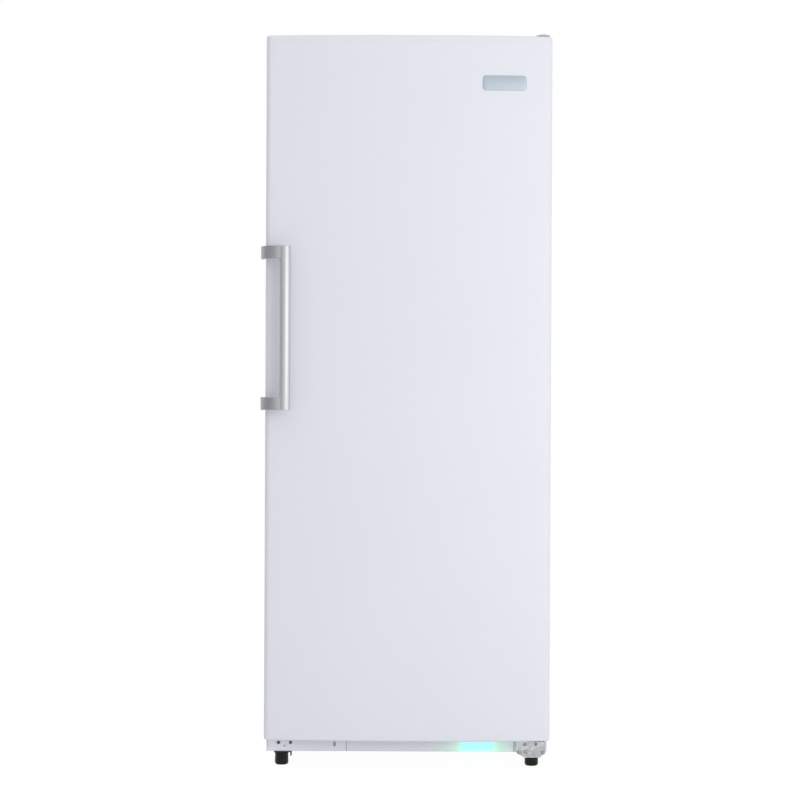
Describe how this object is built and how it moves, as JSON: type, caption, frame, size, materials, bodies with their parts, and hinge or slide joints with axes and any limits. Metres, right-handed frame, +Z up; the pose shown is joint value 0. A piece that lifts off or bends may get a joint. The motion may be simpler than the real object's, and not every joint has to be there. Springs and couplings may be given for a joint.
{
  "type": "upright freezer",
  "caption": "Upright freezer with a foamed steel cabinet, a crowned door hinged on the right, a bar handle on the left, glass shelves, door bins and a sliding wire basket.",
  "frame": {"origin": "on the floor under the centre of the bounding box", "axes": "+Z up, +X to the right seen from the front, +Y to the rear, so the door faces -Y"},
  "size_m": [0.722, 0.7662, 1.8433],
  "materials": {
    "white_paint": "smooth white enamel",
    "white_plastic": "moulded white plastic, low gloss",
    "rail_paint": "light grey enamel",
    "zinc_steel": "galvanised steel",
    "satin_metal": "satin metal",
    "foam": "rigid polyurethane foam",
    "seal_rubber": "soft light grey vinyl",
    "black_plastic": "moulded black plastic",
    "nylon": "natural nylon",
    "clear_glass": "tempered clear glass",
    "clear_plastic": "clear moulded plastic",
    "lamp_green": "translucent lit lens",
    "copper": "drawn copper tube",
    "aluminium": "plain aluminium",
    "black_steel": "black enamel",
    "wire_coat": "white coated wire"
  },
  "bodies": {
    "cabinet": {"side_panel_right": "white_paint", "side_panel_left": "white_paint", "top_panel": "white_paint", "rear_panel": "zinc_steel", "base_plate": "zinc_steel", "step_plate": "zinc_steel", "lower_hinge_bracket": "zinc_steel", "left_leg_bracket": "zinc_steel", "compressor_tray": "zinc_steel", "machine_cover": "zinc_steel", "defrost_heater": "zinc_steel", "top_hinge_plate": "zinc_steel", "inner_liner": "white_plastic", "evaporator_cover": "white_plastic", "shelf_trim_1": "white_plastic", "shelf_trim_2": "white_plastic", "shelf_trim_3": "white_plastic", "shelf_trim_4": "white_plastic", "control_housing": "white_plastic", "top_hinge_cover": "white_plastic", "cabinet_foam": "foam", "front_rail": "rail_paint", "power_light_lens": "lamp_green", "drain_pan": "black_plastic", "compressor": "black_steel", "fan_motor": "black_steel", "condenser_tube": "copper", "evaporator_coil": "aluminium", "shelf_glass_1": "clear_glass", "shelf_glass_2": "clear_glass", "shelf_glass_3": "clear_glass", "shelf_glass_4": "clear_glass", "lamp_cover": "clear_plastic"},
    "door": {"door_skin": "white_paint", "door_cap_bottom": "white_plastic", "door_cap_top": "white_plastic", "door_foam": "foam", "door_liner": "white_plastic", "door_gasket": "seal_rubber", "hinge_bush_bottom": "nylon", "hinge_bush_top": "nylon", "door_bin_1": "clear_plastic", "door_bin_2": "clear_plastic", "door_bin_3": "clear_plastic", "door_bin_4": "clear_plastic", "door_bin_5": "clear_plastic", "handle_bar": "satin_metal", "handle_bracket_top": "satin_metal", "handle_bracket_bottom": "satin_metal"},
    "basket": {"basket_mat_front": "wire_coat", "basket_mat_rear": "wire_coat", "basket_mat_right": "wire_coat", "basket_mat_left": "wire_coat", "basket_mat_floor": "wire_coat"},
    "leg_left": {"leveling_leg_left": "black_plastic"},
    "leg_right": {"leveling_leg_right": "black_plastic"},
    "roller_left": {"rear_roller_left": "black_plastic"},
    "roller_right": {"rear_roller_right": "black_plastic"},
    "fan": {"fan_blade": "black_plastic"},
    "knob": {"control_knob": "white_plastic"}
  },
  "joints": [
    {"name": "door_hinge", "type": "hinge", "parent": "cabinet", "child": "door", "pos_m": [0.34, -0.29693, 0.95], "axis": [0, 0, 1], "range_deg": [0, 125]},
    {"name": "basket_slide", "type": "slide", "parent": "cabinet", "child": "basket", "axis": [0, -1, 0], "range_m": [0, 0.2185]},
    {"name": "leg_left_screw", "type": "slide", "parent": "cabinet", "child": "leg_left", "axis": [0, 0, -1], "range_m": [0, 0.012]},
    {"name": "leg_right_screw", "type": "slide", "parent": "cabinet", "child": "leg_right", "axis": [0, 0, -1], "range_m": [0, 0.012]},
    {"name": "roller_left_axle", "type": "hinge", "parent": "cabinet", "child": "roller_left", "pos_m": [-0.295, 0.34307, 0.016], "axis": [1, 0, 0], "continuous": true},
    {"name": "roller_right_axle", "type": "hinge", "parent": "cabinet", "child": "roller_right", "pos_m": [0.305, 0.34307, 0.016], "axis": [1, 0, 0], "continuous": true},
    {"name": "fan_shaft", "type": "hinge", "parent": "cabinet", "child": "fan", "pos_m": [0.005, 0.27807, 1.24275], "axis": [0, -1, 0], "continuous": true},
    {"name": "knob_turn", "type": "hinge", "parent": "cabinet", "child": "knob", "pos_m": [0.095, -0.17693, 1.7537], "axis": [0, -1, 0], "range_deg": [0, 270]}
  ],
  "couplings": [
    {"joint": "basket_slide", "follows": "door_hinge", "m_per_rad": 0.1}
  ]
}
